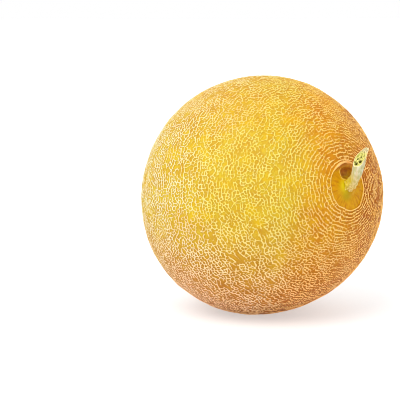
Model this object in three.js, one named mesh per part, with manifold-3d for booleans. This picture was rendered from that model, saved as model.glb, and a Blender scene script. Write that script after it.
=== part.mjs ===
// Netted melon of the cantaloupe group: one ripe fruit with the dried stub of its stem.
//
// Units are millimetres, +Z up. The fruit lies on its side: its stem-to-blossom axis runs along X and
// rises a little towards the stem, which is at +X. The origin is on the surface the fruit lies on, under
// the middle of the whole object's box, and the fruit rests on the small flat spot that its weight makes.
//
// Two grown pieces: the fruit, one solid from rind to seed cavity, and the stem (peduncle) stub.

import * as THREE from "three";
import { mergeVertices } from "three/addons/utils/BufferGeometryUtils.js";
import Module from "manifold-3d";

// ---------------------------------------------------------------- driving dimensions
const EQUATOR_RADIUS = 74.0; // half of the width across the fruit
const POLE_RADIUS = 76.5; // half of the stem-to-blossom length, before the basins
const AXIS_TILT_DEG = 10.0; // how far the stem end is lifted above level
const SPOT_DEPTH = 1.2; // how deep the resting spot cuts into the round underside

const STEM_BASIN_DEPTH = 1.6; // shallow basin that the stem stands in
const STEM_BASIN_RADIUS = 15.0; // where the basin has faded to 1/e
const BLOSSOM_BASIN_DEPTH = 1.0; // fainter dip at the blossom end
const BLOSSOM_BASIN_RADIUS = 11.0;

const JOIN_GAP = 0.3; // clearance between the stem's foot and the skin

// centre line of the stem from under the skin to past the cut, measured from the fruit's centre, and the
// stem's radius at each of its points: spreading foot, waist, swelling, and a taper that the cut slices away
const STEM_LINE = [
  [71.8, 0.8, 13.1],
  [74.7, 0.8, 13.6],
  [78.0, -0.2, 16.6],
  [80.5, -0.6, 19.9],
  [82.2, -0.5, 23.6],
  [83.2, 0.1, 27.1],
  [84.2, 1.3, 30.6],
  [85.1, 2.9, 34.0],
  [85.8, 4.9, 37.2],
];
const STEM_RADII = [4.4, 4.5, 3.6, 3.2, 3.5, 3.8, 3.4, 2.6, 1.6];
const STEM_SIDES = 20;
const STEM_STEPS = 26;
const STEM_RIBS = 5; // soft ribs along the stem
const STEM_RIB_HEIGHT = 0.05; // as a share of the radius
// the slanting cut: a point on its plane, and the plane's normal, pointing away from what is left
const CUT_POINT = [83.4, 0.8, 30.9];
const CUT_NORMAL = [0.265, -0.752, 0.604];

// uneven growth: swellings and flats round the girth that lies square to SWELL_AXIS, counted from
// SWELL_START. Each pair is a cosine and a sine height in mm, for 2, 3, 4 and 5 waves round.
const SWELL_AXIS = [0.7153, -0.6848, 0.1392];
const SWELL_START = [0.6915, 0.7224, 0.0];
const SWELL_MEAN = -0.21;
const SWELL_WAVES = [
  [-0.196, 0.644],
  [0.469, -0.312],
  [-0.038, -0.204],
  [0.072, -0.068],
];

// fruit mesh fineness
const MERIDIANS = 68;
const PARALLELS = 38;

// ---------------------------------------------------------------- the fruit's surface
const TILT = THREE.MathUtils.degToRad(AXIS_TILT_DEG);

const swellAxis = new THREE.Vector3(...SWELL_AXIS).normalize();
const swellRight = new THREE.Vector3(...SWELL_START).normalize();
const swellUp = new THREE.Vector3().crossVectors(swellAxis, swellRight);

// swelling in mm for a unit direction from the fruit's centre; it fades out towards the swell axis
function swell(n) {
  const turn = Math.atan2(n.dot(swellUp), n.dot(swellRight));
  const reach = Math.max(0, 1 - n.dot(swellAxis) ** 2) ** 1.5;
  let height = SWELL_MEAN;
  SWELL_WAVES.forEach(([cosine, sine], i) => {
    height += cosine * Math.cos((i + 2) * turn) + sine * Math.sin((i + 2) * turn);
  });
  return height * reach;
}

// the lathe's y axis becomes the stem axis, along +X and lifted by the tilt
const STAND = new THREE.Matrix4()
  .makeRotationX(Math.PI / 2)
  .multiply(new THREE.Matrix4().makeRotationZ(TILT - Math.PI / 2));

// point of the fruit's surface, measured from its centre and grown outwards by `grow`, for a polar angle
// from the stem and a turn around the stem axis
function surfacePoint(polar, around, grow = 0) {
  const s = Math.sin(polar);
  const c = Math.cos(polar);
  const rim = EQUATOR_RADIUS * s;
  let along = POLE_RADIUS * c;
  if (c > 0) along -= STEM_BASIN_DEPTH * Math.exp(-((rim / STEM_BASIN_RADIUS) ** 2));
  else along += BLOSSOM_BASIN_DEPTH * Math.exp(-((rim / BLOSSOM_BASIN_RADIUS) ** 2));
  const point = new THREE.Vector3(rim * Math.cos(around), along, rim * Math.sin(around)).applyMatrix4(STAND);
  const outward = point.clone().normalize();
  return point.addScaledVector(outward, swell(outward) + grow);
}

// a lathe of unit radius gives the net of faces, and each of its points is moved onto the surface
function fruitGeometry(grow = 0) {
  const profile = [];
  for (let i = 0; i <= PARALLELS; i++) {
    const polar = Math.PI * (1 - i / PARALLELS); // blossom end first, stem end last
    profile.push(new THREE.Vector2(i === 0 || i === PARALLELS ? 0 : Math.sin(polar), Math.cos(polar)));
  }
  const geometry = new THREE.LatheGeometry(profile, MERIDIANS);
  const p = geometry.attributes.position;
  for (let i = 0; i < p.count; i++) {
    const rim = Math.hypot(p.getX(i), p.getZ(i));
    const atPole = rim < 1e-6;
    const polar = atPole ? (p.getY(i) > 0 ? 0 : Math.PI) : Math.acos(THREE.MathUtils.clamp(p.getY(i), -1, 1));
    const around = atPole ? 0 : Math.atan2(p.getZ(i), p.getX(i));
    const q = surfacePoint(polar, around, grow);
    p.setXYZ(i, q.x, q.y, q.z);
  }
  return geometry;
}

// ---------------------------------------------------------------- the stem
function stemGeometry() {
  const line = new THREE.CatmullRomCurve3(STEM_LINE.map((p) => new THREE.Vector3(...p)));
  const side = new THREE.Vector3(0, 1, 0);
  const geometry = new THREE.CylinderGeometry(1, 1, 1, STEM_SIDES, STEM_STEPS);
  const p = geometry.attributes.position;
  for (let i = 0; i < p.count; i++) {
    const t = Math.round(THREE.MathUtils.clamp(p.getY(i) + 0.5, 0, 1) * STEM_STEPS) / STEM_STEPS;
    const centre = line.getPoint(t);
    const along = line.getTangent(t);
    const across = side.clone().addScaledVector(along, -side.dot(along)).normalize();
    const up = new THREE.Vector3().crossVectors(along, across);
    const k = t * (STEM_RADII.length - 1);
    const a = Math.min(Math.floor(k), STEM_RADII.length - 2);
    const f = k - a;
    const plain = STEM_RADII[a] * (1 - f) + STEM_RADII[a + 1] * f;
    const reach = Math.hypot(p.getX(i), p.getZ(i)); // 0 at the caps' centres, 1 on the wall
    const angle = Math.atan2(p.getZ(i), p.getX(i));
    const r = reach * plain * (1 + STEM_RIB_HEIGHT * Math.cos(STEM_RIBS * angle));
    centre.addScaledVector(across, r * Math.cos(angle)).addScaledVector(up, r * Math.sin(angle));
    p.setXYZ(i, centre.x, centre.y, centre.z);
  }
  return geometry;
}

// ---------------------------------------------------------------- joining and cutting
const wasm = await Module();
wasm.setup();

function solid(geometry) {
  const g = geometry.clone();
  g.deleteAttribute("normal");
  g.deleteAttribute("uv");
  const m = mergeVertices(g, 1e-4);
  const index = Array.from(m.index.array);
  const kept = [];
  for (let i = 0; i < index.length; i += 3) {
    const [a, b, c] = [index[i], index[i + 1], index[i + 2]];
    if (a !== b && b !== c && c !== a) kept.push(a, b, c);
  }
  const build = (tris) =>
    new wasm.Manifold(
      new wasm.Mesh({
        numProp: 3,
        vertProperties: new Float32Array(m.attributes.position.array),
        triVerts: new Uint32Array(tris),
      }),
    );
  const first = build(kept);
  if (first.volume() > 0) return first;
  const turned = [];
  for (let i = 0; i < kept.length; i += 3) turned.push(kept[i], kept[i + 2], kept[i + 1]);
  return build(turned);
}

function geometryOf(manifold) {
  const mesh = manifold.getMesh();
  const g = new THREE.BufferGeometry();
  g.setAttribute("position", new THREE.BufferAttribute(new Float32Array(mesh.vertProperties), 3));
  g.setIndex(new THREE.BufferAttribute(new Uint32Array(mesh.triVerts), 1));
  g.computeVertexNormals();
  return g;
}

// a large block whose face passes through `point` and looks along -normal: what it covers is cut away
function cutter(point, normal) {
  const size = 400;
  const g = new THREE.BoxGeometry(size, size, size);
  g.translate(0, 0, size / 2);
  const turn = new THREE.Quaternion().setFromUnitVectors(new THREE.Vector3(0, 0, 1), normal.clone().normalize());
  g.applyQuaternion(turn);
  g.translate(point.x, point.y, point.z);
  return solid(g);
}

const down = new THREE.Vector3(0, 0, -1);
const round = solid(fruitGeometry());
const lowest = round.boundingBox().min[2];
const floor = lowest + SPOT_DEPTH;
const fruitSolid = round.subtract(cutter(new THREE.Vector3(0, 0, floor), down));
const stemSolid = solid(stemGeometry())
  .subtract(cutter(new THREE.Vector3(...CUT_POINT), new THREE.Vector3(...CUT_NORMAL)))
  .subtract(solid(fruitGeometry(JOIN_GAP)));

// ---------------------------------------------------------------- the scene graph
const rind = new THREE.MeshStandardMaterial({ color: 0xe2ad45, roughness: 0.6, metalness: 0.0 });
const cork = new THREE.MeshStandardMaterial({ color: 0xc9c08f, roughness: 0.8, metalness: 0.0 });

const fruit = new THREE.Mesh(geometryOf(fruitSolid), rind);
fruit.name = "fruit";
const stem = new THREE.Mesh(geometryOf(stemSolid), cork);
stem.name = "stem";

const melon = new THREE.Group();
melon.name = "melon";
melon.add(fruit, stem);

// origin: bottom centre of the whole object's box
const box = new THREE.Box3().setFromObject(melon, true);
melon.position.set(-(box.min.x + box.max.x) / 2, -(box.min.y + box.max.y) / 2, -floor);
melon.updateMatrixWorld(true);

export default melon;
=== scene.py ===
import math

import bmesh
import bpy
import numpy as np
from mathutils import Matrix, Vector
from mathutils.geometry import delaunay_2d_cdt


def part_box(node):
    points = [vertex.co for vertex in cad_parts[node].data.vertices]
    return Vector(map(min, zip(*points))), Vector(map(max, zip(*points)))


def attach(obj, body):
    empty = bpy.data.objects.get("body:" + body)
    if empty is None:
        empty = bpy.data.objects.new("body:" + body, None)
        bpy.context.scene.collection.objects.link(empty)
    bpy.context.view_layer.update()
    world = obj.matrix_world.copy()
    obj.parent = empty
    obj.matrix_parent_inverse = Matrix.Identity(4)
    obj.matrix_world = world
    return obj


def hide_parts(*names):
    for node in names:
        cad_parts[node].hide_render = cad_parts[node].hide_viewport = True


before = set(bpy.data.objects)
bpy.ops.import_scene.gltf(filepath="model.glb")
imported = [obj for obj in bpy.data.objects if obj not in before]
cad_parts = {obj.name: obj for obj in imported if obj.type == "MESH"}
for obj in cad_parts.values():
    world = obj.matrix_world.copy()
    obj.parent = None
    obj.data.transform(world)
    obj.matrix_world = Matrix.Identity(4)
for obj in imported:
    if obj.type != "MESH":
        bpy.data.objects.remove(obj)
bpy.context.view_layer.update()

# ------------------------------------------------------------------ the fruit's surface, as the CAD makes it (mm)
EQUATOR, POLE = 74.0, 76.5
TILT = math.radians(10.0)
BASIN_DEPTH, BASIN_RADIUS = 1.6, 15.0
BLOSSOM_DEPTH, BLOSSOM_RADIUS = 1.0, 11.0
AXIS = np.array([math.cos(TILT), 0.0, math.sin(TILT)])  # towards the stem
EAST = np.array([math.sin(TILT), 0.0, -math.cos(TILT)])  # turn 0 around the axis: downwards
NORTH = np.array([0.0, -1.0, 0.0])
SWELL_AXIS = np.array([0.7153, -0.6848, 0.1392])
SWELL_AXIS /= np.linalg.norm(SWELL_AXIS)
SWELL_START = np.array([0.6915, 0.7224, 0.0])
SWELL_START /= np.linalg.norm(SWELL_START)
SWELL_UP = np.cross(SWELL_AXIS, SWELL_START)
SWELL_WAVES = [(-0.196, 0.644), (0.469, -0.312), (-0.038, -0.204), (0.072, -0.068)]
R0 = 75.0  # mm per radian in the flat working of the net


def unit(v):
    return v / np.maximum(np.linalg.norm(v, axis=-1, keepdims=True), 1e-12)


def surface(m):
    """Points of the smooth fruit, in mm from its centre, for unit directions m (n, 3), and the way out there."""
    a = m @ AXIS
    perp = m - a[:, None] * AXIS
    rim = EQUATOR * np.linalg.norm(perp, axis=1)
    along = POLE * a
    along = np.where(
        a > 0,
        along - BASIN_DEPTH * np.exp(-((rim / BASIN_RADIUS) ** 2)),
        along + BLOSSOM_DEPTH * np.exp(-((rim / BLOSSOM_RADIUS) ** 2)),
    )
    p = EQUATOR * perp + along[:, None] * AXIS
    out = unit(p)
    turn = np.arctan2(out @ SWELL_UP, out @ SWELL_START)
    reach = np.maximum(0.0, 1 - (out @ SWELL_AXIS) ** 2) ** 1.5
    h = np.full(len(m), -0.21)
    for i, (c, s) in enumerate(SWELL_WAVES):
        h = h + c * np.cos((i + 2) * turn) + s * np.sin((i + 2) * turn)
    return p + (h * reach)[:, None] * out, out


def direction(arc, turn):
    """Unit direction for an arc from the stem pole in mm and a turn around the axis."""
    f = np.asarray(arc, float) / R0
    s = np.sin(f)
    return (
        np.cos(f)[..., None] * AXIS
        + (s * np.cos(turn))[..., None] * EAST
        + (s * np.sin(turn))[..., None] * NORTH
    )


# where the CAD put the fruit's centre
k = np.arange(60000)
fib = np.arccos(1 - 2 * (k + 0.5) / 60000)
lon = np.pi * (1 + 5**0.5) * k
ball = np.stack([np.sin(fib) * np.cos(lon), np.sin(fib) * np.sin(lon), np.cos(fib)], 1)
whole, _ = surface(ball)
low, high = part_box("fruit")
CENTRE = 500.0 * (np.array(low) + np.array(high)) - 0.5 * (whole.min(0) + whole.max(0))
CENTRE[2] = 1000.0 * high[2] - whole[:, 2].max()


# ------------------------------------------------------------------ seeded smooth noise
def make_noise(seed):
    rng = np.random.default_rng(seed)
    perm = rng.permutation(256)
    perm = np.concatenate([perm, perm])
    grads = unit(rng.normal(size=(256, 3)))

    def noise(p, scale):
        q = np.asarray(p, float) / scale
        i = np.floor(q).astype(int)
        f = q - i
        u = f * f * f * (f * (f * 6 - 15) + 10)
        total = np.zeros(len(q))
        for dx in (0, 1):
            wx = u[:, 0] if dx else 1 - u[:, 0]
            hx = perm[(i[:, 0] + dx) & 255]
            for dy in (0, 1):
                wy = u[:, 1] if dy else 1 - u[:, 1]
                hy = perm[hx + ((i[:, 1] + dy) & 255)]
                for dz in (0, 1):
                    wz = u[:, 2] if dz else 1 - u[:, 2]
                    g = grads[perm[hy + ((i[:, 2] + dz) & 255)]]
                    d = g[:, 0] * (f[:, 0] - dx) + g[:, 1] * (f[:, 1] - dy) + g[:, 2] * (f[:, 2] - dz)
                    total += wx * wy * wz * d
        return total * 1.6

    return noise


def smoothstep(a, b, x):
    t = np.clip((x - a) / (b - a), 0, 1)
    return t * t * (3 - 2 * t)


# ------------------------------------------------------------------ the net: cells, then strands along their borders
PATCH = 14.4  # bare skin around the stem, mm from the pole
SCAR = 3.4  # blossom scar
FAR = math.pi * R0
noise_a, noise_b, noise_c = make_noise(11), make_noise(12), make_noise(13)
rng = np.random.default_rng(7)


def ring_of(arc, width, jitter):
    """Turns round the axis for one ring of cells, and how far each strays from the ring."""
    around = 2 * math.pi * R0 * math.sin(min(arc, FAR - 0.01) / R0)
    n = max(3, int(round(around / width)))
    steps = rng.uniform(0.72, 1.28, n)
    t = 2 * math.pi * (np.cumsum(steps) / steps.sum() + rng.uniform())
    return t, arc + rng.uniform(-1, 1, n) * jitter


def cell_sites():
    """Cell centres in rings round the stem axis: rings of long cells near the stem, looser ones further out."""
    arcs, turns, kinds = [], [], []

    def add(arc, width, jitter, kind):
        t, s = ring_of(arc, width, jitter)
        arcs.append(s)
        turns.append(t)
        kinds.append(np.full(len(t), kind))

    for arc in np.arange(0.45, PATCH - 0.3, 0.92):  # bare patch, fine and even so that its hollows hold their shape
        add(arc, 0.95, 0.12, 0)
    arc = PATCH + 1.05
    while arc < FAR - SCAR - 0.8:
        near = float(np.exp(-(((arc - PATCH) / 28.0) ** 2)))
        finer = 1 - 0.09 * math.exp(-(((arc - 45.0) / 32.0) ** 2))
        height = (2.2 * near + 1.98 * (1 - near)) * finer
        add(arc, (1.6 * near + 2.0 * (1 - near)) * finer, height * (0.17 * near + 0.46 * (1 - near)), 1)
        arc += height
    for arc in np.arange(FAR - SCAR, FAR - 0.3, 0.8):
        add(arc, 0.85, 0.12, 2)
    arcs, turns, kinds = np.concatenate(arcs), np.concatenate(turns), np.concatenate(kinds)
    # rings lie closer above the stem and further apart on its flank
    beyond = np.maximum(arcs - PATCH, 0)
    pull = 0.20 * np.cos(turns - 1.9) * np.exp(-beyond / 38.0)
    arcs = np.where(kinds == 1, arcs + beyond * pull, arcs)
    # wavering rings, and patches where the net is looser
    at = direction(arcs, turns) * R0
    ring_zone = smoothstep(8.0, PATCH, arcs) * np.exp(-beyond / 45.0)
    arcs = arcs + ring_zone * (1.0 * noise_b(at, 13.0) + 0.55 * noise_c(at, 6.0))
    loose = 0.40 * smoothstep(0.05, 0.55, noise_c(at + 31.0, 9.0)) * smoothstep(PATCH + 4, PATCH + 30, arcs)
    keep = (kinds != 1) | (rng.uniform(size=len(arcs)) > loose)
    return arcs[keep], turns[keep], kinds[keep]


arcs, turns, kinds = cell_sites()
sites = direction(arcs, turns)

# which cells touch: laid out flat from the blossom pole, which keeps circles circles, with that pole as the last cell
sites = np.vstack([sites, -AXIS])
kinds = np.r_[kinds, 2]
spread = np.stack([sites[:-1] @ EAST, sites[:-1] @ NORTH], 1) / (1 + sites[:-1] @ AXIS)[:, None]
found = delaunay_2d_cdt([Vector(p) for p in spread.tolist()], [], [], 0, 1e-12, True)
origin = np.array([o[0] for o in found[3]])
tris = origin[np.array([f for f in found[2] if len(f) == 3])]
sides = np.concatenate([tris[:, [0, 1]], tris[:, [1, 2]], tris[:, [2, 0]]])
lone = np.unique(np.sort(sides, axis=1), axis=0, return_counts=True)
outer = lone[0][lone[1] == 1]
tris = np.vstack([tris, np.column_stack([outer, np.full(len(outer), len(sites) - 1)])])
cross = np.cross(sites[tris[:, 1]] - sites[tris[:, 0]], sites[tris[:, 2]] - sites[tris[:, 0]])
cross *= np.sign((cross * sites[tris[:, 0]]).sum(1))[:, None]
corner = unit(cross)  # where three cells meet

# corners closer than this are one crossing
JOIN = 0.40 / R0
sides = np.sort(np.concatenate([tris[:, [0, 1]], tris[:, [1, 2]], tris[:, [2, 0]]]), axis=1)
owner = np.tile(np.arange(len(tris)), 3)
order = np.lexsort((sides[:, 1], sides[:, 0]))
sides, owner = sides[order], owner[order]
twin = np.nonzero((sides[1:] == sides[:-1]).all(1))[0]
left, right_ = owner[twin], owner[twin + 1]
close = np.linalg.norm(corner[left] - corner[right_], axis=1) < JOIN
parent = list(range(len(tris)))


def find(i):
    while parent[i] != i:
        parent[i] = parent[parent[i]]
        i = parent[i]
    return i


for i, j in zip(left[close].tolist(), right_[close].tolist()):
    parent[find(i)] = find(j)
root = np.array([find(i) for i in range(len(tris))])
labels, group = np.unique(root, return_inverse=True)
crossing = np.zeros((len(labels), 3))
np.add.at(crossing, group, corner)
crossing = unit(crossing)

# each cell's crossings in order round it
site_of = tris.reshape(-1)
tri_of = np.repeat(np.arange(len(tris)), 3)
ex = unit(np.cross(sites, np.array([0.31, 0.52, 0.8])))
ey = np.cross(sites, ex)
d = corner[tri_of]
angle = np.arctan2((d * ey[site_of]).sum(1), (d * ex[site_of]).sum(1))
order = np.lexsort((angle, site_of))
cell, knot = site_of[order], group[tri_of[order]]


def previous_in(cells_):
    """Index of the entry before each one, going round within its own cell."""
    first = np.r_[True, cells_[1:] != cells_[:-1]]
    start = np.nonzero(first)[0]
    size = np.diff(np.r_[start, len(cells_)])
    prev = np.arange(len(cells_)) - 1
    prev[start] = start + size - 1
    return prev, start, size


prev, _, _ = previous_in(cell)
keep = knot != knot[prev]
cell, knot = cell[keep], knot[keep]
_, start, size = previous_in(cell)
keep = np.repeat(size >= 3, size)  # a cell squeezed to a line is gone, its two sides meet
cell, knot = cell[keep], knot[keep]
prev, cell_start, cell_size = previous_in(cell)
after = np.empty_like(prev)
after[prev] = np.arange(len(prev))
cell_id = np.repeat(np.arange(len(cell_start)), cell_size)
cell_site = cell[cell_start]
N = len(crossing)

# borders, each shared by two cells
g, h = knot, knot[after]
key = np.minimum(g, h) * N + np.maximum(g, h)
border_key, border = np.unique(key, return_inverse=True)
NB = len(border_key)
ga, hb = border_key // N, border_key % N
side_kind = kinds[cell]
lowest = np.full(NB, 9)
highest = np.full(NB, -1)
np.minimum.at(lowest, border, side_kind)
np.maximum.at(highest, border, side_kind)
bare_border = (lowest == highest) & (lowest != 1)
rim_border = (lowest == 0) & (highest == 1)
pa, pb = crossing[ga], crossing[hb]
length = np.linalg.norm(pb - pa, axis=1) * R0
mid = unit(pa + pb)
b_arc = np.arccos(np.clip(mid @ AXIS, -1, 1)) * R0
ring_way = unit(np.cross(AXIS, mid))
along_ring = np.abs((unit(pb - pa) * ring_way).sum(1))
near = np.exp(-(((b_arc - PATCH) / 28.0) ** 2))
underside = 1 - smoothstep(-0.45, 0.3, mid[:, 2])
crosswise = 1 - smoothstep(0.35, 0.8, along_ring)
thin = smoothstep(0.0, 0.6, noise_a(mid * R0 + 17.0, 8.0))  # patches of weaker net
chance = 0.865 + 0.02 * near - crosswise * (0.30 + 0.32 * near - 0.14 * underside) - 0.16 * thin * (1 - underside)
kept = rng.uniform(size=NB) < chance
power = np.where(kept, rng.uniform(0.6, 1.15, NB) * (1.0 - 0.14 * crosswise) * (1 - 0.22 * thin), 0.0)
wide = rng.uniform(0.68, 1.26, NB) * (1.03 - 0.14 * crosswise) * (1 + 0.10 * underside)
power = np.where(bare_border, 0.0, np.where(rim_border, np.where(rng.uniform(size=NB) < 0.85, 1.0, 0.0), power))
wide = np.where(rim_border, 1.15, wide)
best = np.zeros(N)
np.maximum.at(best, ga, power)
np.maximum.at(best, hb, power)

STEP = 0.80
parts = np.maximum(1, np.round(length / STEP).astype(int))
inner = parts - 1
inner_start = N + np.r_[0, np.cumsum(inner)[:-1]]
of_border = np.repeat(np.arange(NB), inner)
nth = np.arange(inner.sum()) - np.repeat(inner_start - N, inner) + 1
f = nth / parts[of_border]
ridge_inner = unit(pa[of_border] * (1 - f)[:, None] + pb[of_border] * f[:, None])
# strands that stopped short
stub = (rng.uniform(size=NB) < 0.6) & (power == 0) & ~bare_border
stub_reach = rng.uniform(0.25, 0.6, NB)
from_a = rng.uniform(size=NB) < 0.5
gone = np.where(from_a[of_border], f, 1 - f)
stub_power = np.where(stub[of_border], np.clip(1 - gone / stub_reach[of_border], 0, 1) * 0.9, 0)
inner_power = np.where(power[of_border] > 0, power[of_border], stub_power)
ridge = np.concatenate([crossing, ridge_inner])
ridge_strength = np.concatenate([best, inner_power])

# points round each cell, side by side
count = parts[border]
point_side = np.repeat(np.arange(len(knot)), count)
point_k = np.arange(count.sum()) - np.repeat(np.r_[0, np.cumsum(count)[:-1]], count)
bd = border[point_side]
forward_ = ga[bd] == knot[point_side]
ids = np.where(
    point_k == 0,
    knot[point_side],
    np.where(forward_, inner_start[bd] + point_k - 1, inner_start[bd] + parts[bd] - 1 - point_k),
)
point_cell = cell_id[point_side]
_, p_start, p_size = previous_in(point_cell)

# each cell laid flat round its own middle
o = np.zeros((len(cell_start), 3))
np.add.at(o, cell_id, crossing[knot])
o = unit(o)
x = unit(np.cross(o, np.array([0.31, 0.52, 0.8])))
y = np.cross(o, x)


def flat(p, c):
    return np.stack([(p * x[c]).sum(1), (p * y[c]).sum(1)], 1) * R0


P = flat(crossing[knot], cell_id)
Pn = P[after]
cr = P[:, 0] * Pn[:, 1] - Pn[:, 0] * P[:, 1]
area = np.bincount(cell_id, cr) / 2
mid2 = np.stack([np.bincount(cell_id, (P[:, i] + Pn[:, i]) * cr) for i in (0, 1)], 1) / (6 * area[:, None])
plain = np.stack([np.bincount(cell_id, P[:, i]) for i in (0, 1)], 1) / cell_size[:, None]
mid2 = np.where(np.abs(area)[:, None] > 0.02, mid2, plain)
e = Pn - P
normal2 = np.stack([-e[:, 1], e[:, 0]], 1)
normal2 /= np.maximum(np.linalg.norm(normal2, axis=1, keepdims=True), 1e-9)
normal2 *= np.sign(area)[cell_id][:, None]
dc = ((mid2[cell_id] - P) * normal2).sum(1)
room = np.maximum(np.minimum.reduceat(dc, cell_start), 0.05)
Q = flat(ridge[ids], point_cell)
n_sides = cell_size[point_cell]
pair_point = np.repeat(np.arange(len(ids)), n_sides)
pair_start = np.r_[0, np.cumsum(n_sides)[:-1]]
pair_side = cell_start[point_cell[pair_point]] + np.arange(n_sides.sum()) - pair_start[pair_point]
dq = np.maximum(((Q[pair_point] - P[pair_side]) * normal2[pair_side]).sum(1), 0)
HALF_TOP, HALF_FOOT = 0.195, 0.36
levels = []
for half, most in ((HALF_TOP, 0.40), (HALF_FOOT, 0.72)):
    want = np.minimum(half * wide[border[pair_side]], most * room[cell_id[pair_side]])
    ratio = (want - dq) / np.maximum(dc[pair_side] - dq, 1e-6)
    levels.append(np.clip(np.maximum.reduceat(ratio, pair_start), 0.02, 0.9))
levels[1] = np.maximum(levels[1], levels[0] + 0.03)
levels.append(levels[1] + (1 - levels[1]) * 0.38)

verts, v_strength, v_level, v_room, v_cell = [ridge], [ridge_strength], [np.zeros(len(ridge))], [np.full(len(ridge), 9.0)], [np.full(len(ridge), -1)]
for lev, t in enumerate(levels, start=1):
    q = Q + t[:, None] * (mid2[point_cell] - Q)
    verts.append(unit(o[point_cell] + (q[:, :1] * x[point_cell] + q[:, 1:] * y[point_cell]) / R0))
    v_strength.append(ridge_strength[ids])
    v_level.append(np.full(len(ids), float(lev)))
    v_room.append(room[point_cell])
    v_cell.append(point_cell)
verts.append(unit(o + (mid2[:, :1] * x + mid2[:, 1:] * y) / R0))
v_strength.append(np.zeros(len(o)))
v_level.append(np.full(len(o), 4.0))
v_room.append(room)
v_cell.append(np.arange(len(o)))
verts, v_strength, v_level, v_room, v_cell = (np.concatenate(v) for v in (verts, v_strength, v_level, v_room, v_cell))

NP = len(ids)
here = np.arange(NP)
nxt = here + 1
last = p_start + p_size - 1
nxt[last] = p_start
rows = [ids, len(ridge) + here, len(ridge) + NP + here, len(ridge) + 2 * NP + here]
centre_id = len(ridge) + 3 * NP + point_cell
quads = np.concatenate([np.stack([r0, r0[nxt], r1[nxt], r1], 1) for r0, r1 in zip(rows[:-1], rows[1:])])
fans = np.stack([rows[3], rows[3][nxt], centre_id], 1)
if area.mean() < 0:
    quads, fans = quads[:, ::-1], fans[:, ::-1]
print("NET", len(o), "cells", len(verts), "points", len(quads) * 2 + len(fans), "triangles")


# ------------------------------------------------------------------ from flat working to the fruit: warp, height, masks
amount = smoothstep(PATCH - 4.0, PATCH + 3.0, np.arccos(np.clip(verts @ AXIS, -1, 1)) * R0)[:, None]
coarse = np.stack([n(verts * R0, 5.2) for n in (noise_a, noise_b, noise_c)], 1)
fine = np.stack([n(verts * R0 + 40.0, 2.1) for n in (noise_b, noise_c, noise_a)], 1)
m = unit(verts + amount * (0.85 * coarse + 0.2 * fine) / R0)
base, out = surface(m)
a = np.clip(m @ AXIS, -1, 1)
arc = np.arccos(a) * R0
turn = np.arctan2(m @ NORTH, m @ EAST)
up, north = -arc * np.cos(turn), arc * np.sin(turn)  # around the stem: upwards, and to the left as it is seen

mm = m * R0
slow, medium = noise_a(mm + 9.0, 21.0), noise_b(mm, 7.0)
tall = 0.37 * (1 + 0.35 * slow + 0.2 * medium)
tall *= 1 + 0.7 * np.exp(-(((arc - PATCH) / 1.6) ** 2))
grain = noise_c(mm, 0.55)
is_net = (v_level <= 1) * v_strength
h = np.select(
    [v_level == 0, v_level == 1, v_level == 2, v_level == 3],
    [tall, 0.84 * tall, 0.0 * tall, 0.02 + 0 * tall],
    0.045 * np.minimum(v_room, 2.0),
)
h = np.where(v_level <= 1, h * v_strength + 0.03 * grain * v_strength, h)
# the skin itself: gentle swells
h += 0.16 * slow + 0.07 * medium

# bare ground round the stem
bare = 1 - smoothstep(PATCH - 0.5, PATCH + 0.3, arc)
foot = np.exp(-((np.maximum(np.hypot(up, north) - 4.2, 0) / 1.7) ** 2))
h += 0.75 * foot * bare
h -= 0.35 * smoothstep(PATCH - 5, PATCH - 1.2, arc) * bare
radial = noise_a(np.stack([turn * 9.0, arc * 0.16, arc * 0 + 3.0], 1), 1.0)
h += 0.06 * radial * bare * smoothstep(5, 10, arc)
# the hollow above the foot, with its sharp lip
px, py = north + 1.0, up - 8.7
pit_r = ((np.abs(px) / 6.2) ** 2.4 + (np.abs(py) / np.where(py > 0, 3.7, 4.9)) ** 2.4) ** (1 / 2.4)
pit = 1 - smoothstep(0.45, 1.0, pit_r)
h -= 2.3 * pit
lip = np.exp(-(((pit_r - 1.05) / 0.085) ** 2))
lip_side = smoothstep(-0.2, 0.5, px / 6.0 - py / 6.0)
h += 0.36 * lip * lip_side
# the thick welt over the hollow
welt = np.exp(-((np.abs(arc - 13.9) / 1.7) ** 2.6)) * np.exp(-((np.abs(np.angle(np.exp(1j * (turn - math.pi + 0.1)))) / 0.62) ** 4))
h += 1.25 * welt
crest = np.exp(-(((arc - 14.7) / 0.75) ** 2)) * np.exp(-((np.abs(np.angle(np.exp(1j * (turn - math.pi + 0.1)))) / 0.75) ** 4))
h += 0.25 * crest
# blossom scar
tail = FAR - arc
ragged = tail + 0.55 * noise_b(mm, 2.6) + 0.25 * noise_c(mm, 1.0)
scar = 1 - smoothstep(SCAR - 0.9, SCAR + 0.9, ragged)
h += 0.40 * np.exp(-(((ragged - SCAR) / 0.8) ** 2)) - 0.25 * scar + 0.30 * scar * noise_b(mm, 0.9)
h -= 0.5 * np.exp(-((tail / 0.9) ** 2))

pts = base + h[:, None] * out + CENTRE
# lying on the flat spot: the net is pressed level, the skin between stays a hair above it
floor_z = 0.14 * (1 - np.clip(is_net * 1.3, 0, 1))
pts[:, 2] = np.maximum(pts[:, 2], floor_z)

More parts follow.
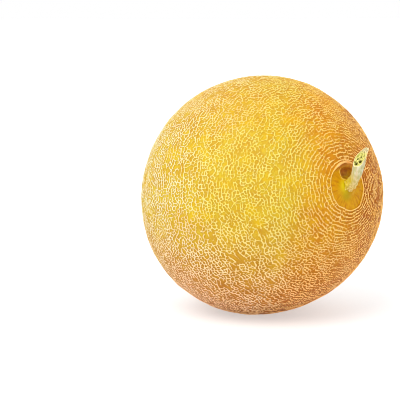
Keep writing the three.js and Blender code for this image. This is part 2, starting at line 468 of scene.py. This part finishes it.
net = np.where(v_level <= 1, np.clip(v_strength, 0, 1.15), np.where(v_level == 2, 0.1, 0.0))
net = np.maximum(net, np.clip(crest * 1.3 - 0.1, 0, 1.0))
net = np.maximum(net, 0.8 * lip * lip_side * (pit_r > 0.9))
# painted shade in the crease at the foot of each strand: darkest on the foot ring
foot_shade = np.select([v_level == 1, v_level == 2, v_level == 3], [0.35, 1.0, 0.25], 0.0) * np.clip(v_strength, 0, 1)
foot_shade = np.where(v_level == 4, 0.0, foot_shade)
ray = 0.5 + 0.5 * radial * smoothstep(5, 10, arc) * bare
# the lower side of the hollow, which keeps a lighter olive colour; its upper side takes the deeper painted shade
low_side = smoothstep(2.0, -3.5, py + 0.3 * px)
cell_random = np.r_[np.random.default_rng(21).uniform(size=len(o)), 0.5]
cell_value = cell_random[v_cell]
# painted highlight: a pool of brighter yellow-green on the bare skin beside the stem's foot
root_highlight = bare * np.exp(-(((north - 3.6) / 2.7) ** 2) - ((up - 0.8) / 3.6) ** 2)
green = bare * np.exp(-(((north - 2.2) / 3.9) ** 2)) * np.exp(-((np.maximum(np.abs(up + 2.5) - 3.5, 0) / 2.6) ** 2))


# ------------------------------------------------------------------ meshes
def make_mesh(name, points_mm, faces_quads, faces_tris, attributes):
    mesh = bpy.data.meshes.new(name)
    nq, nt = len(faces_quads), len(faces_tris)
    mesh.vertices.add(len(points_mm))
    mesh.vertices.foreach_set("co", (points_mm / 1000.0).astype(np.float32).ravel())
    loops = np.concatenate([faces_quads.ravel(), faces_tris.ravel()]).astype(np.int32)
    mesh.loops.add(len(loops))
    mesh.loops.foreach_set("vertex_index", loops)
    mesh.polygons.add(nq + nt)
    start = np.concatenate([np.arange(nq) * 4, nq * 4 + np.arange(nt) * 3]).astype(np.int32)
    mesh.polygons.foreach_set("loop_start", start)
    mesh.update(calc_edges=True)
    mesh.polygons.foreach_set("use_smooth", np.ones(nq + nt, bool))
    for key, values in attributes.items():
        layer = mesh.attributes.new(key, "FLOAT", "POINT")
        layer.data.foreach_set("value", np.asarray(values, np.float32))
    mesh.validate()
    obj = bpy.data.objects.new(name, mesh)
    bpy.context.scene.collection.objects.link(obj)
    return obj


rind = make_mesh(
    "rind",
    pts,
    quads,
    fans,
    {"net": net, "cell": cell_value, "bare": bare, "green": green, "pit": pit, "scar": scar, "arc": arc, "welt": welt, "foot_shade": foot_shade, "ray": ray, "low": low_side, "root_highlight": root_highlight},
)


def octahedral(obj, middle_mm):
    """An even map of the whole skin, cut along the meridians of its underside."""
    mesh = obj.data
    co = np.empty(len(mesh.vertices) * 3, np.float32)
    mesh.vertices.foreach_get("co", co)
    dirs = unit(co.reshape(-1, 3).astype(float) * 1000.0 - middle_mm)
    loops = np.empty(len(mesh.loops), np.int32)
    mesh.loops.foreach_get("vertex_index", loops)
    totals = np.empty(len(mesh.polygons), np.int32)
    mesh.polygons.foreach_get("loop_total", totals)
    face = np.repeat(np.arange(len(totals)), totals)
    mid = np.zeros((len(totals), 3))
    for i in range(3):
        mid[:, i] = np.bincount(face, dirs[loops, i], len(totals))
    sign = np.where(mid < 0, -1.0, 1.0)[face]
    d = dirs[loops] * sign
    r = np.sqrt(np.maximum(1 - d[:, 2], 0))
    phi = np.arctan2(d[:, 1], d[:, 0])
    v = r * 2 * phi / math.pi
    u = r - v
    lower = sign[:, 2] < 0
    u, v = np.where(lower, 1 - v, u), np.where(lower, 1 - u, v)
    uv = np.stack([u * sign[:, 0], v * sign[:, 1]], 1) * 0.49 + 0.5
    layer = mesh.uv_layers.new(name="OFBake")
    layer.data.foreach_set("uv", uv.astype(np.float32).ravel())


octahedral(rind, CENTRE)

# ------------------------------------------------------------------ the stem
LINE = np.array(
    [
        [71.8, 0.2, 13.8],
        [74.7, 0.3, 14.3],
        [78.0, -0.2, 16.6],
        [80.5, -0.6, 19.9],
        [82.0, -0.7, 23.6],
        [82.7, -0.4, 27.1],
        [83.1, 0.2, 30.6],
        [84.0, 1.8, 34.0],
        [84.9, 4.0, 37.4],
    ]
)
RADII = np.array([3.5, 3.3, 3.0, 2.85, 3.2, 3.55, 3.25, 2.6, 1.85])
CUT_POINT = np.array([82.8, 0.15, 30.9])
CUT_NORMAL = unit(np.array([0.265, -0.752, 0.604]))


def spline(t):
    """Centripetal Catmull-Rom through LINE, at t in 0..1."""
    n = len(LINE) - 1
    pos = t * n
    i = min(int(pos), n - 1)
    w = pos - i
    p1, p2 = LINE[i], LINE[i + 1]
    p0 = LINE[i - 1] if i > 0 else 2 * LINE[0] - LINE[1]
    p3 = LINE[i + 2] if i + 2 <= n else 2 * LINE[n] - LINE[n - 1]
    d0, d1, d2 = (max(np.linalg.norm(q - p) ** 0.5, 1e-4) for p, q in ((p0, p1), (p1, p2), (p2, p3)))
    t1 = ((p1 - p0) / d0 - (p2 - p0) / (d0 + d1) + (p2 - p1) / d1) * d1
    t2 = ((p2 - p1) / d1 - (p3 - p1) / (d1 + d2) + (p3 - p2) / d2) * d1
    c2, c3 = -3 * p1 + 3 * p2 - 2 * t1 - t2, 2 * p1 - 2 * p2 + t1 + t2
    return p1 + t1 * w + c2 * w * w + c3 * w**3


AROUND, ALONG = 168, 250
ts = np.linspace(0.0, 0.99, ALONG)
centre_line = np.array([spline(t) for t in ts])
tangent = unit(np.gradient(centre_line, axis=0))
side = np.array([0.0, 1.0, 0.0]) - tangent * tangent[:, 1:2]
side = unit(side)
lift = np.cross(tangent, side)
radius = np.interp(ts * (len(RADII) - 1), np.arange(len(RADII)), RADII)
ang = np.linspace(0, 2 * math.pi, AROUND, endpoint=False)
ca, sa = np.cos(ang), np.sin(ang)
tube = (
    centre_line[:, None, :]
    + radius[:, None, None] * (ca[None, :, None] * side[:, None, :] + sa[None, :, None] * lift[:, None, :])
)
way = unit(ca[None, :, None] * side[:, None, :] + sa[None, :, None] * lift[:, None, :])
reach = np.concatenate([[0], np.cumsum(np.linalg.norm(np.diff(centre_line, axis=0), axis=1))])
flat_way, flat_tube = way.reshape(-1, 3), tube.reshape(-1, 3)
lengthwise = np.repeat(reach, AROUND)
around = np.tile(ang, ALONG)
ring_pos = np.stack([np.cos(around), np.sin(around)], 1)
twist = around + 0.05 * lengthwise
ribs = np.cos(5 * twist) * 0.16 + np.cos(9 * twist + 1.3) * 0.05
fibre = noise_a(np.column_stack([ring_pos * 6.5, lengthwise * 0.22]), 1.0) * 0.17
fibre += noise_b(np.column_stack([ring_pos * 14.0, lengthwise * 0.5]), 1.0) * 0.07
lumps = noise_c(flat_tube, 2.3) * 0.34 * (1 - smoothstep(3.5, 11.0, lengthwise))
warts = np.maximum(noise_b(flat_tube + 70.0, 1.5), 0) * 1.5 * (1 - smoothstep(4.5, 8.5, lengthwise))
offset = ribs * smoothstep(2.0, 8.0, lengthwise) + fibre + lumps + warts - 0.05
# the foot spreads over the skin in blunt toes
toes = (0.55 + 0.5 * np.cos(5 * around + 0.6)) * np.exp(-(((lengthwise - 3.0) / 1.7) ** 2))
offset += 0.55 * toes
flat_tube = flat_tube + offset[:, None] * flat_way

bm = bmesh.new()
w_layer = bm.verts.layers.float.new("along")
c_layer = bm.verts.layers.float.new("cut")
g_layer = bm.verts.layers.float.new("lime")
e_layer = bm.verts.layers.float.new("tip")
flank = np.array([-0.6915, -0.7224, 0.0])
lime = smoothstep(0.15, 0.85, flat_way @ flank) * smoothstep(16.0, 8.0, lengthwise)
p_layer = bm.verts.layers.float.new("hole")
vs = []
for p, l, g_ in zip(flat_tube.tolist(), lengthwise.tolist(), lime.tolist()):
    v = bm.verts.new(p)
    v[w_layer] = l
    v[g_layer] = g_
    vs.append(v)
for i in range(ALONG - 1):
    for j in range(AROUND):
        k = (j + 1) % AROUND
        bm.faces.new((vs[i * AROUND + j], vs[i * AROUND + k], vs[(i + 1) * AROUND + k], vs[(i + 1) * AROUND + j]))
low_mid = bm.verts.new(flat_tube[:AROUND].mean(0).tolist())
for j in range(AROUND):
    bm.faces.new((vs[(j + 1) % AROUND], vs[j], low_mid))
bmesh.ops.bisect_plane(
    bm,
    geom=list(bm.verts) + list(bm.edges) + list(bm.faces),
    dist=1e-4,
    plane_co=Vector(CUT_POINT),
    plane_no=Vector(CUT_NORMAL),
    clear_outer=True,
)
rim_edges = [e for e in bm.edges if e.is_boundary]
# walk the longest open loop; anything else left open above it goes
links = {}
for e in rim_edges:
    for v in e.verts:
        links.setdefault(v, []).append(e)
seen, loops_found = set(), []
for e0 in rim_edges:
    if e0 in seen:
        continue
    v0 = e0.verts[0]
    loop, v, e = [v0], e0.verts[1], e0
    seen.add(e0)
    while v is not v0:
        loop.append(v)
        nexts = [x for x in links[v] if x not in seen]
        if not nexts:
            break
        e = nexts[0]
        seen.add(e)
        v = e.other_vert(v)
    loops_found.append(loop)
loops_found.sort(key=len, reverse=True)
rim = loops_found[0]
print("STEM rim", len(rim), "open loops", [len(x) for x in loops_found])
rim_pts = np.array([v.co[:] for v in rim])
cu = unit(np.cross(CUT_NORMAL, np.array([0.0, 0.0, 1.0])))
cv = np.cross(cu, CUT_NORMAL)
flat_rim = np.stack([(rim_pts - CUT_POINT) @ cu, (rim_pts - CUT_POINT) @ cv], 1)
mid2 = (flat_rim.max(0) + flat_rim.min(0)) / 2
print("CUT face", flat_rim.min(0), flat_rim.max(0))
spin = 0.5 * (flat_rim[:, 0] * np.roll(flat_rim[:, 1], -1) - np.roll(flat_rim[:, 0], -1) * flat_rim[:, 1]).sum()
# main axis of the face
cov = np.cov((flat_rim - mid2).T)
val, vec = np.linalg.eigh(cov)
long_axis = vec[:, 1] if vec[1, 1] > 0 else -vec[:, 1]
wide_axis = np.array([long_axis[1], -long_axis[0]])
half_long = np.abs((flat_rim - mid2) @ long_axis).max()
half_wide = np.abs((flat_rim - mid2) @ wide_axis).max()
HOLES = [
    (-0.66, 0.10, 0.86, 1.7),
    (-0.56, 0.46, 0.50, 1.2),
    (-0.36, -0.32, 0.94, 1.8),
    (-0.22, 0.36, 0.60, 1.2),
    (0.04, 0.0, 0.52, 1.1),
    (0.22, -0.38, 0.42, 0.9),
    (0.34, 0.26, 0.36, 0.8),
    (0.54, 0.0, 0.40, 0.9),
    (0.88, 0.0, 0.46, 1.1),
]
LAYERS = [0.035, 0.075, 0.12, 0.17] + list(np.linspace(0.22, 0.97, 22))
previous = rim
for t in LAYERS:
    ring = []
    q2 = flat_rim + t * (mid2 - flat_rim)
    l_, w_ = (q2 - mid2) @ long_axis, (q2 - mid2) @ wide_axis
    dip = -0.42 * smoothstep(0.02, 0.2, np.full(len(q2), t)) + 0.14 * math.exp(-(((t - 0.05) / 0.03) ** 2))
    hole = np.zeros(len(q2))
    for hl, hw, hr, hd in HOLES:
        rr = np.hypot(l_ - hl * half_long, w_ - hw * half_wide) / hr
        hole = np.maximum(hole, (1 - smoothstep(0.55, 1.15, rr)) * hd)
    q3 = CUT_POINT + q2[:, :1] * cu + q2[:, 1:] * cv
    rough = noise_a(q3, 0.8) * 0.22 + noise_b(q3, 0.35) * 0.08
    q3 = q3 + (dip + rough * smoothstep(0.0, 0.1, np.full(len(q2), t)) - hole)[:, None] * CUT_NORMAL
    tips = smoothstep(0.35, 0.75, l_ / half_long)
    for p, hv, tip_share in zip(q3.tolist(), hole.tolist(), tips.tolist()):
        v = bm.verts.new(p)
        v[w_layer] = 30.0
        v[c_layer] = min(1.0, t / 0.12)
        v[p_layer] = min(1.0, hv)
        v[e_layer] = tip_share
        ring.append(v)
    for j in range(len(ring)):
        k = (j + 1) % len(ring)
        f = (previous[j], previous[k], ring[k], ring[j])
        bm.faces.new(f if spin > 0 else f[::-1])
    previous = ring
v = bm.verts.new((CUT_POINT + mid2[0] * cu + mid2[1] * cv - 0.42 * CUT_NORMAL).tolist())
v[w_layer], v[c_layer] = 30.0, 1.0
for j in range(len(previous)):
    k = (j + 1) % len(previous)
    f = (previous[j], previous[k], v)
    bm.faces.new(f if spin > 0 else f[::-1])
for extra in loops_found[1:]:
    bmesh.ops.holes_fill(bm, edges=[e for e in rim_edges if e.is_valid and e.is_boundary], sides=0)
bmesh.ops.recalc_face_normals(bm, faces=bm.faces)
for v in bm.verts:
    v.co = (v.co + Vector(CENTRE)) / 1000.0
for f in bm.faces:
    f.smooth = True
stem_mesh = bpy.data.meshes.new("stem")
bm.to_mesh(stem_mesh)
bm.free()
stem = bpy.data.objects.new("cut_stem", stem_mesh)
bpy.context.scene.collection.objects.link(stem)


# ------------------------------------------------------------------ materials
class Nodes:
    def __init__(self, name):
        self.mat = bpy.data.materials.new(name)
        self.mat.use_nodes = True
        self.tree = self.mat.node_tree
        self.bsdf = next(n for n in self.tree.nodes if n.type == "BSDF_PRINCIPLED")

    def put(self, socket, value):
        if isinstance(value, bpy.types.NodeSocket):
            self.tree.links.new(value, socket)
        elif isinstance(value, (tuple, list)) and len(value) == 3 and socket.type == "RGBA":
            socket.default_value = (*value, 1.0)
        else:
            socket.default_value = value

    def node(self, kind, **settings):
        n = self.tree.nodes.new(kind)
        for k, v in settings.items():
            setattr(n, k, v)
        return n

    def attr(self, name):
        n = self.node("ShaderNodeAttribute", attribute_name=name)
        return n.outputs["Fac"]

    def coords(self):
        return self.node("ShaderNodeTexCoord").outputs["Object"]

    def scaled(self, vector, scale):
        n = self.node("ShaderNodeMapping")
        self.put(n.inputs["Vector"], vector)
        n.inputs["Scale"].default_value = scale
        return n.outputs["Vector"]

    def noise(self, vector, per_metre, detail=2.0, rough=0.5, distortion=0.0):
        n = self.node("ShaderNodeTexNoise")
        self.put(n.inputs["Vector"], vector)
        n.inputs["Scale"].default_value = per_metre
        n.inputs["Detail"].default_value = detail
        n.inputs["Roughness"].default_value = rough
        n.inputs["Distortion"].default_value = distortion
        return n.outputs["Fac"]

    def span(self, value, a, b, lo=0.0, hi=1.0, smooth=True):
        n = self.node("ShaderNodeMapRange", interpolation_type="SMOOTHSTEP" if smooth else "LINEAR")
        self.put(n.inputs["Value"], value)
        for key, v in (("From Min", a), ("From Max", b), ("To Min", lo), ("To Max", hi)):
            n.inputs[key].default_value = v
        return n.outputs["Result"]

    def calc(self, op, a, b=0.0, c=None):
        n = self.node("ShaderNodeMath", operation=op)
        self.put(n.inputs[0], a)
        self.put(n.inputs[1], b)
        if c is not None:
            self.put(n.inputs[2], c)
        return n.outputs[0]

    def mix(self, fac, a, b, blend="MIX"):
        n = self.node("ShaderNodeMix", data_type="RGBA", blend_type=blend)
        self.put(n.inputs[0], fac)
        self.put(n.inputs[6], a)
        self.put(n.inputs[7], b)
        return n.outputs[2]

    def bump(self, height, strength, distance):
        n = self.node("ShaderNodeBump")
        n.inputs["Strength"].default_value = strength
        n.inputs["Distance"].default_value = distance
        self.put(n.inputs["Height"], height)
        return n.outputs["Normal"]


def srgb(r, g, b):
    return tuple(((c / 255 + 0.055) / 1.055) ** 2.4 if c > 10 else c / 255 / 12.92 for c in (r, g, b))


def tone(r, g, b, light=0.67):
    return tuple(c * light for c in srgb(r, g, b))


s = Nodes("netted_rind")
at = s.coords()
netv = s.attr("net")
edge = s.noise(at, 2600, 2, 0.6)
cover = s.span(s.calc("ADD", netv, s.calc("MULTIPLY", s.calc("SUBTRACT", edge, 0.5), 0.35)), 0.54, 0.80)
big, mid_n, small = s.noise(at, 26, 3, 0.55), s.noise(at, 105, 3, 0.6), s.noise(at, 420, 2, 0.6)
blotch = s.noise(at, 62, 2, 0.5)
split = s.node("ShaderNodeSeparateXYZ")
s.put(split.inputs[0], at)
height_z = split.outputs["Z"]
# painted shade: from the equator down the skin is painted darker, browner and more orange and the strands pinker, as
# the underside lies in shade
painted_under_shade = s.span(s.calc("ADD", height_z, s.calc("MULTIPLY", s.calc("SUBTRACT", big, 0.5), 0.03)), 0.075, 0.005)
across = s.calc("ADD", s.calc("MULTIPLY", split.outputs["X"], 0.6915), s.calc("MULTIPLY", split.outputs["Y"], 0.7224))
across = s.calc("ADD", across, s.calc("MULTIPLY", s.calc("SUBTRACT", big, 0.5), 0.03))
above = s.calc("SUBTRACT", 1.0, painted_under_shade)
belt = s.calc("SUBTRACT", height_z, 0.080)
belt = s.calc("MAXIMUM", s.calc("MULTIPLY", belt, 0.20), s.calc("MULTIPLY", belt, -0.35))
warm = s.span(s.calc("ADD", across, belt), 0.007, 0.045)
warm = s.calc("MAXIMUM", warm, s.calc("MAXIMUM", s.calc("MULTIPLY", painted_under_shade, 0.35), s.span(height_z, 0.105, 0.140, 0, 0.3)))
# painted shade: the lowest 17 mm, where the fruit meets the floor, is painted darker brown
contact_shade = s.span(height_z, 0.017, 0.0)
# painted shade: along the right flank towards the stem the skin is painted amber-brown and the gaps between strands
# darker, as that rim falls into shade
right_rim_shade = s.span(across, 0.036, 0.063)
# round the far side the ground colour evens out into broad patches
far_side = s.calc("ADD", s.calc("MULTIPLY", split.outputs["X"], -0.7224), s.calc("MULTIPLY", split.outputs["Y"], 0.6915))
far_side = s.span(far_side, 0.010, 0.050, 0, 0.88)
near_side = s.calc("SUBTRACT", 1.0, far_side)
patchy = s.span(big, 0.30, 0.72, 0.28, 0.8)
warm = s.calc("ADD", warm, s.calc("MULTIPLY", far_side, s.calc("SUBTRACT", patchy, warm)))
# the painted rim shade is kept to the near side
right_rim_shade = s.calc("MULTIPLY", right_rim_shade, near_side)
yellow = s.mix(s.span(mid_n, 0.38, 0.64), tone(241, 208, 56), tone(233, 188, 52))
orange = s.mix(s.span(mid_n, 0.36, 0.64), tone(246, 168, 24), tone(236, 148, 18))
amber = s.mix(s.span(mid_n, 0.36, 0.64), tone(214, 120, 4), tone(192, 96, 4))
skin = s.mix(right_rim_shade, s.mix(warm, yellow, orange), amber)
skin = s.mix(s.span(s.attr("cell"), 0.5, 1.0, 0, 0.45), skin, s.mix(warm, tone(222, 164, 24), tone(208, 124, 10)))
skin = s.mix(s.calc("MULTIPLY", s.span(s.attr("cell"), 0.35, 0.0, 0, 0.45), above), skin, s.mix(right_rim_shade, tone(255, 206, 0), tone(236, 160, 0)))
# painted shade: the darker orange-brown skin of the shaded underside
low_skin = s.mix(s.span(mid_n, 0.4, 0.62), s.mix(warm, tone(240, 152, 64), tone(218, 114, 14)), s.mix(warm, tone(214, 120, 44), tone(188, 86, 8)))
skin = s.mix(s.calc("MULTIPLY", painted_under_shade, 0.85), skin, low_skin)
# painted shade: the skin darker brown where the fruit meets the floor
skin = s.mix(s.calc("MULTIPLY", contact_shade, 0.6), skin, tone(164, 96, 26))
skin = s.mix(s.calc("MULTIPLY", s.span(blotch, 0.54, 0.72, 0, 0.6), above), skin, s.mix(warm, tone(255, 212, 20), tone(252, 170, 10)))
# painted shade: a dark line in the crease at the foot of every strand, faint in places, strongest on the shaded
# underside and right flank
foot_shade_strength = s.calc("MAXIMUM", s.span(blotch, 0.70, 0.56, 0.2, 0.6), s.calc("MULTIPLY", s.calc("MAXIMUM", painted_under_shade, right_rim_shade), 0.95))
foot_shade = s.calc("MULTIPLY", s.attr("foot_shade"), foot_shade_strength)
skin = s.mix(foot_shade, skin, s.mix(painted_under_shade, s.mix(right_rim_shade, tone(208, 142, 16), tone(174, 88, 4)), tone(124, 60, 14)))
ground = s.mix(s.span(small, 0.35, 0.7), tone(244, 178, 0), tone(234, 158, 0))
ground = s.mix(s.span(s.attr("ray"), 0.45, 0.75, 0, 0.5), ground, tone(200, 112, 4))
skin = s.mix(s.attr("bare"), skin, ground)
skin = s.mix(s.calc("MULTIPLY", s.attr("green"), 0.85), skin, tone(198, 168, 0))
# painted highlight: brighter yellow-green skin beside the stem's foot
skin = s.mix(s.calc("MULTIPLY", s.attr("root_highlight"), 0.9), skin, tone(234, 212, 22, 0.8))
skin = s.mix(s.calc("MULTIPLY", s.attr("welt"), 0.8), skin, s.mix(s.span(mid_n, 0.4, 0.6), tone(232, 142, 40), tone(206, 112, 18)))
# painted shade in the hollow: its skin is painted darker brown with mottling, deepest on the upper side under the
# overhang, more olive towards the lower lip
hollow = s.mix(s.attr("low"), s.mix(s.span(small, 0.35, 0.65), tone(190, 108, 8, 0.86), tone(160, 86, 4, 0.86)), s.mix(s.span(small, 0.35, 0.65), tone(186, 138, 8, 0.86), tone(150, 96, 6, 0.86)))
skin = s.mix(s.span(s.attr("pit"), 0.02, 0.35, 0, 0.96), skin, hollow)
# partly painted light: towards the blossom end the strands turn paler and whiter, only on the near side where the lamp
# falls; partly the net's own paler colour there
pale_and_lit = s.span(s.calc("ADD", s.attr("arc"), s.calc("MULTIPLY", s.calc("SUBTRACT", big, 0.5), 40.0)), 74.0, 122.0)
pale_and_lit = s.calc("MULTIPLY", pale_and_lit, near_side)
cork = s.mix(
    s.span(small, 0.3, 0.7),
    s.mix(pale_and_lit, tone(255, 234, 100, 0.71), tone(255, 240, 178, 0.71)),
    s.mix(pale_and_lit, tone(255, 245, 144, 0.71), tone(255, 249, 206, 0.71)),
)
cork_warm = s.mix(s.span(small, 0.3, 0.7), tone(255, 210, 102, 0.81), tone(255, 221, 136, 0.81))
# strands within the painted shade of the right flank
cork_right_rim = s.mix(s.span(small, 0.3, 0.7), tone(255, 192, 95, 0.92), tone(255, 206, 130, 0.92))
cork = s.mix(right_rim_shade, s.mix(warm, cork, cork_warm), cork_right_rim)
# painted shade: the strands on the shaded underside, pinker
low_cork = s.mix(s.span(mid_n, 0.4, 0.62), s.mix(warm, tone(255, 219, 190, 0.94), tone(255, 196, 130, 0.94)), s.mix(warm, tone(255, 210, 172, 0.94), tone(255, 183, 104, 0.94)))
cork = s.mix(s.calc("MULTIPLY", painted_under_shade, 0.9), cork, low_cork)
# painted shade: the strands darker brown where the fruit meets the floor
cork = s.mix(s.calc("MULTIPLY", contact_shade, 0.5), cork, tone(236, 172, 104, 0.8))
cork = s.mix(s.span(big, 0.52, 0.68, 0, 0.4), cork, tone(250, 196, 124, 0.76))
cork = s.mix(s.calc("MULTIPLY", s.span(blotch, 0.54, 0.72, 0, 0.5), above), cork, s.mix(warm, tone(255, 222, 60), tone(254, 190, 60, 0.74)))
cork = s.mix(s.calc("MULTIPLY", s.attr("welt"), 0.85), cork, s.mix(s.span(mid_n, 0.4, 0.6), tone(255, 176, 92, 0.86), tone(255, 196, 120, 0.86)))
colour = s.mix(cover, skin, cork)
crust = s.mix(s.span(s.noise(at, 1300, 3, 0.7), 0.36, 0.62), tone(150, 104, 52), tone(232, 196, 136))
crust = s.mix(s.span(s.attr("arc"), FAR - 1.5, FAR - 0.6), crust, tone(112, 78, 40))
colour = s.mix(s.span(s.attr("scar"), 0.1, 0.8, 0, 0.92), colour, crust)
s.put(s.bsdf.inputs["Base Color"], colour)
s.put(s.bsdf.inputs["Roughness"], s.calc("ADD", s.calc("MULTIPLY", cover, 0.34), s.span(small, 0.3, 0.7, 0.38, 0.48)))
s.bsdf.inputs["Specular IOR Level"].default_value = 0.11
s.bsdf.inputs["Subsurface Weight"].default_value = 0.06
s.bsdf.inputs["Subsurface Radius"].default_value = (1.0, 0.5, 0.15)
s.bsdf.inputs["Subsurface Scale"].default_value = 0.001
fissure = s.noise(at, 3800, 3, 0.7)
pores = s.noise(at, 1500, 2, 0.5)
height = s.calc("ADD", s.calc("MULTIPLY", fissure, s.calc("MULTIPLY", cover, 1.0)), s.calc("MULTIPLY", pores, 0.25))
s.put(s.bsdf.inputs["Normal"], s.bump(height, 0.45, 0.00016))
rind.data.materials.append(s.mat)

t = Nodes("stem_cork")
at = t.coords()
streaks = t.noise(t.scaled(at, (1.0, 1.0, 0.28)), 900, 3, 0.6)
long_streaks = t.noise(t.scaled(at, (1.0, 1.0, 0.2)), 420, 3, 0.6)
specks = t.noise(at, 1700, 2, 0.6)
along = t.attr("along")
shaft = t.mix(t.span(streaks, 0.36, 0.66), tone(196, 190, 132, 0.82), tone(232, 226, 196, 0.82))
shaft = t.mix(t.span(long_streaks, 0.5, 0.7, 0, 0.6), shaft, tone(226, 196, 154, 0.82))
shaft = t.mix(t.span(long_streaks, 0.46, 0.3, 0, 0.55), shaft, tone(190, 184, 92, 0.82))
shaft = t.mix(t.span(along, 15.0, 8.0, 0, 0.75), shaft, t.mix(t.span(streaks, 0.36, 0.66), tone(204, 176, 84, 0.8), tone(236, 206, 130, 0.8)))
footc = t.mix(t.span(specks, 0.4, 0.62), tone(206, 172, 58, 0.8), tone(255, 226, 156, 0.84))
shaft = t.mix(t.span(along, 9.0, 3.5), shaft, footc)
shaft = t.mix(t.calc("MULTIPLY", t.attr("lime"), t.span(streaks, 0.7, 0.35, 0.45, 0.9)), shaft, tone(214, 192, 26, 0.8))
face = t.mix(t.span(specks, 0.36, 0.60), tone(158, 158, 40, 0.82), tone(242, 232, 142, 0.82))
face = t.mix(t.calc("MULTIPLY", t.attr("tip"), 0.85), face, t.mix(t.span(specks, 0.38, 0.6), tone(190, 170, 126, 0.8), tone(240, 222, 186, 0.82)))
face = t.mix(t.calc("MULTIPLY", t.attr("hole"), 0.95), face, tone(96, 86, 8, 0.8))
rimc = tone(255, 240, 186, 0.84)
cutv = t.attr("cut")
col = t.mix(t.span(cutv, 0.25, 0.9), t.mix(t.span(cutv, 0.0, 0.2), shaft, rimc), face)
t.put(t.bsdf.inputs["Base Color"], col)
t.put(t.bsdf.inputs["Roughness"], t.span(streaks, 0.3, 0.7, 0.62, 0.85))
t.bsdf.inputs["Specular IOR Level"].default_value = 0.15
t.put(t.bsdf.inputs["Normal"], t.bump(t.calc("ADD", streaks, specks), 0.5, 0.00025))
stem.data.materials.append(t.mat)

for piece, node, slot in ((rind, "fruit", "rind"), (stem, "stem", "stem_cork")):
    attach(piece, "root")
    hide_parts(node)

# ------------------------------------------------------------------ stage, camera and light
floor_mat = Nodes("studio_floor")
floor_mat.bsdf.inputs["Base Color"].default_value = (0.60, 0.61, 0.62, 1)
floor_mat.bsdf.inputs["Roughness"].default_value = 0.75
floor_mat.bsdf.inputs["Specular IOR Level"].default_value = 0.1
floor_mat.bsdf.inputs["Emission Color"].default_value = (0.97, 0.985, 1, 1)
floor_mat.bsdf.inputs["Emission Strength"].default_value = 0.48
bm = bmesh.new()
bmesh.ops.create_circle(bm, cap_ends=True, radius=6.0, segments=96)
floor_mesh = bpy.data.meshes.new("floor")
bm.to_mesh(floor_mesh)
bm.free()
floor = bpy.data.objects.new("floor", floor_mesh)
floor.location.z = -0.0003
bpy.context.scene.collection.objects.link(floor)
floor.data.materials.append(floor_mat.mat)

AZ, EL, DISTANCE = math.radians(46.25), math.radians(8.0), 1.0
back = np.array([math.sin(AZ) * math.cos(EL), -math.cos(AZ) * math.cos(EL), math.sin(EL)])
FOCAL = 1604.0 / 400 * 36.0
ox, oy = (260.9 - 200) / 1604.0, (200 - 195.4) / 1604.0
forward = -back
for _ in range(30):
    right = unit(np.cross(forward, np.array([0, 0, 1.0])))
    above = np.cross(right, forward)
    forward = unit(-back * math.sqrt(1 + ox * ox + oy * oy) - ox * right - oy * above)
camera = bpy.data.cameras.new("camera")
camera.lens = FOCAL
camera.sensor_width = 36.0
camera.clip_start, camera.clip_end = 0.05, 50.0
eye = bpy.data.objects.new("camera", camera)
bpy.context.scene.collection.objects.link(eye)
from_matrix = np.eye(4)
from_matrix[:3, 0], from_matrix[:3, 1], from_matrix[:3, 2] = right, above, -forward
from_matrix[:3, 3] = CENTRE / 1000.0 + back * DISTANCE
eye.matrix_world = Matrix(from_matrix.tolist())
bpy.context.scene.camera = eye


def lamp(name, azimuth, elevation, distance, size, watts, colour=(1, 1, 1)):
    az, el = math.radians(azimuth), math.radians(elevation)
    way = Vector((math.sin(az) * math.cos(el), -math.cos(az) * math.cos(el), math.sin(el)))
    data = bpy.data.lights.new(name, "AREA")
    data.shape, data.size, data.energy, data.color = "DISK", size, watts, colour
    obj = bpy.data.objects.new(name, data)
    target = Vector(CENTRE) / 1000.0
    obj.location = target + way * distance
    obj.rotation_euler = way.to_track_quat("Z", "Y").to_euler()
    bpy.context.scene.collection.objects.link(obj)
    return obj


lamp("key", 14, 50, 1.9, 1.5, 22, (1.0, 0.972, 0.935))
world = bpy.data.worlds.new("studio")
bpy.context.scene.world = world
world.use_nodes = True
sky = world.node_tree.nodes["Background"]
sky.inputs["Color"].default_value = (1, 1, 1, 1)
sky.inputs["Strength"].default_value = 1.0
bpy.context.scene.cycles.filter_width = 0.9
view = bpy.context.scene.view_settings
view.view_transform = "Standard"
view.look = "None"
view.exposure, view.gamma = 0.0, 1.0
